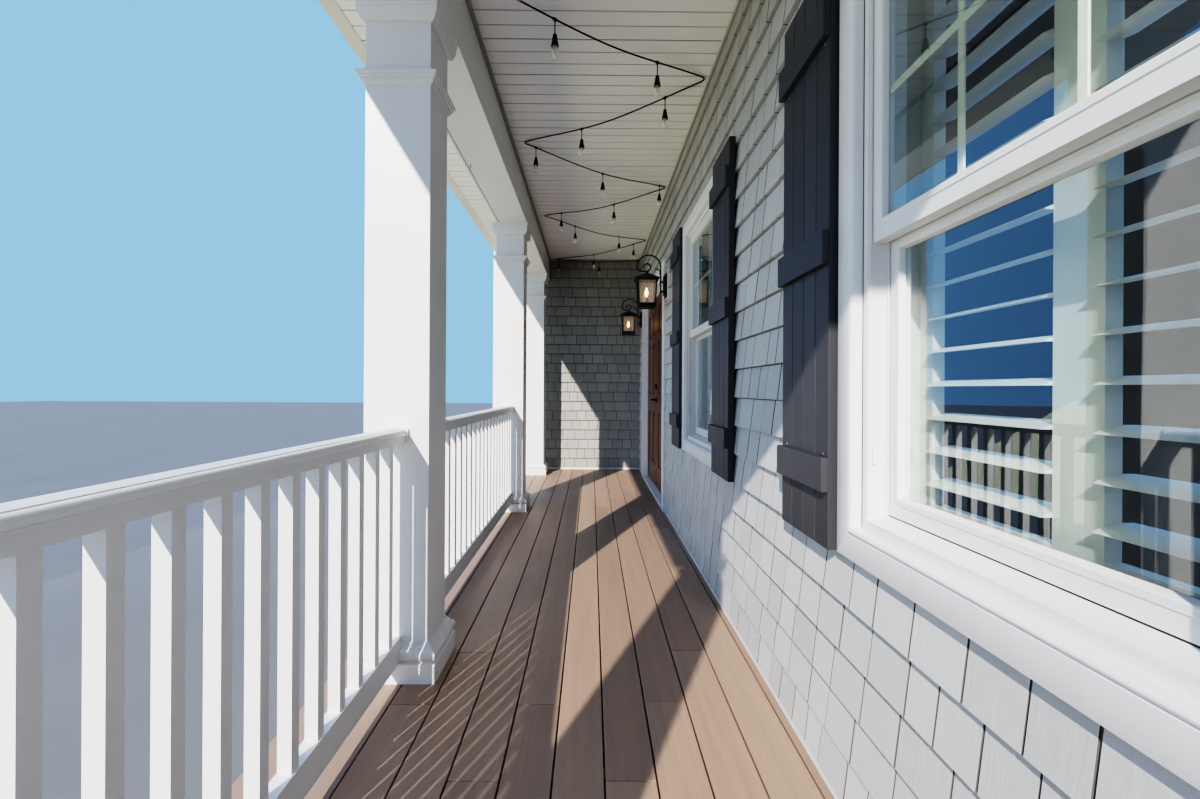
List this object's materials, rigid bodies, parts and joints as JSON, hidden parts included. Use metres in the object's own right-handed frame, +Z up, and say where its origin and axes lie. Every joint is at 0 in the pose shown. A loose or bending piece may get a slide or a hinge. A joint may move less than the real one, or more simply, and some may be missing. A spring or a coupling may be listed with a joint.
{
  "type": "front porch",
  "caption": "Covered front porch with white square columns, railings and a boarded deck along a shingled house wall with windows, shutters and a pair of entry doors",
  "frame": {"origin": "centre of the bounding box on the ground", "axes": "+X runs along the porch from the end wall to the open end, -Y faces the street, +Z is up"},
  "size_m": [8.9744, 2.375, 4.055],
  "materials": {
    "concrete": "rough cast concrete",
    "framing_wood": "sawn softwood",
    "skirt_paint": "white painted skirt boards",
    "deck_board": "embossed grey-brown composite board",
    "white_paint": "white painted timber and smooth white trim",
    "vinyl_slats": "off-white slatted vinyl",
    "cream_metal": "cream coated sheet metal",
    "roofing": "dark mineral shingles",
    "siding": "light grey shingle siding with an upright grain",
    "window_vinyl": "white window profile",
    "glass": "clear glass",
    "shutter_paint": "charcoal painted boards",
    "door_wood": "stained brown wood, satin",
    "handle_metal": "dark bronze",
    "lantern_metal": "black powder coat",
    "lantern_glass": "seeded glass",
    "cord_rubber": "black cord",
    "hook_metal": "zinc plated hooks"
  },
  "bodies": {
    "porch": {"house_foundation": "concrete", "porch_piers": "concrete", "floor_frame": "framing_wood", "porch_skirt": "skirt_paint", "deck_boards": "deck_board", "step_frame": "skirt_paint", "step_treads": "deck_board", "column_shafts": "white_paint", "column_bases": "white_paint", "column_necks": "white_paint", "column_capitals": "white_paint", "front_beam": "white_paint", "side_beam": "white_paint", "porch_ceiling": "vinyl_slats", "ceiling_trim": "white_paint", "eave_soffit": "vinyl_slats", "fascia_boards": "cream_metal", "roof_trusses": "framing_wood", "roof_boards": "framing_wood", "roof_shingles": "roofing", "gable_panel": "siding", "near_railing": "white_paint", "far_railing": "white_paint", "side_railing": "white_paint", "handrails": "white_paint", "rail_brackets": "white_paint", "front_wall": "siding", "wall_over_entry": "siding", "wall_by_entry": "siding", "end_wall": "siding", "wall_edge_trim": "white_paint", "window_casings": "white_paint", "window_frames": "window_vinyl", "window_sashes": "window_vinyl", "window_glass": "glass", "inside_shutters": "white_paint", "near_shutters": "shutter_paint", "far_shutters": "shutter_paint", "entry_frame": "white_paint", "lantern_blocks": "white_paint", "lantern_brackets": "lantern_metal", "lantern_cages": "lantern_metal", "lantern_glass": "lantern_glass", "string_cord": "cord_rubber", "string_lamps": "cord_rubber", "string_mounts": "hook_metal"},
    "far_leaf": {"far_door": "door_wood", "door_handle": "handle_metal"},
    "near_leaf": {"near_door": "door_wood"}
  },
  "joints": [
    {"name": "far_door_hinge", "type": "hinge", "parent": "porch", "child": "far_leaf", "pos_m": [-3.60875, 1.0892, 0.566], "axis": [0, 0, 1], "range_deg": [0, 90]},
    {"name": "near_door_hinge", "type": "hinge", "parent": "porch", "child": "near_leaf", "pos_m": [-1.79175, 1.0892, 0.566], "axis": [0, 0, -1], "range_deg": [0, 90]}
  ]
}
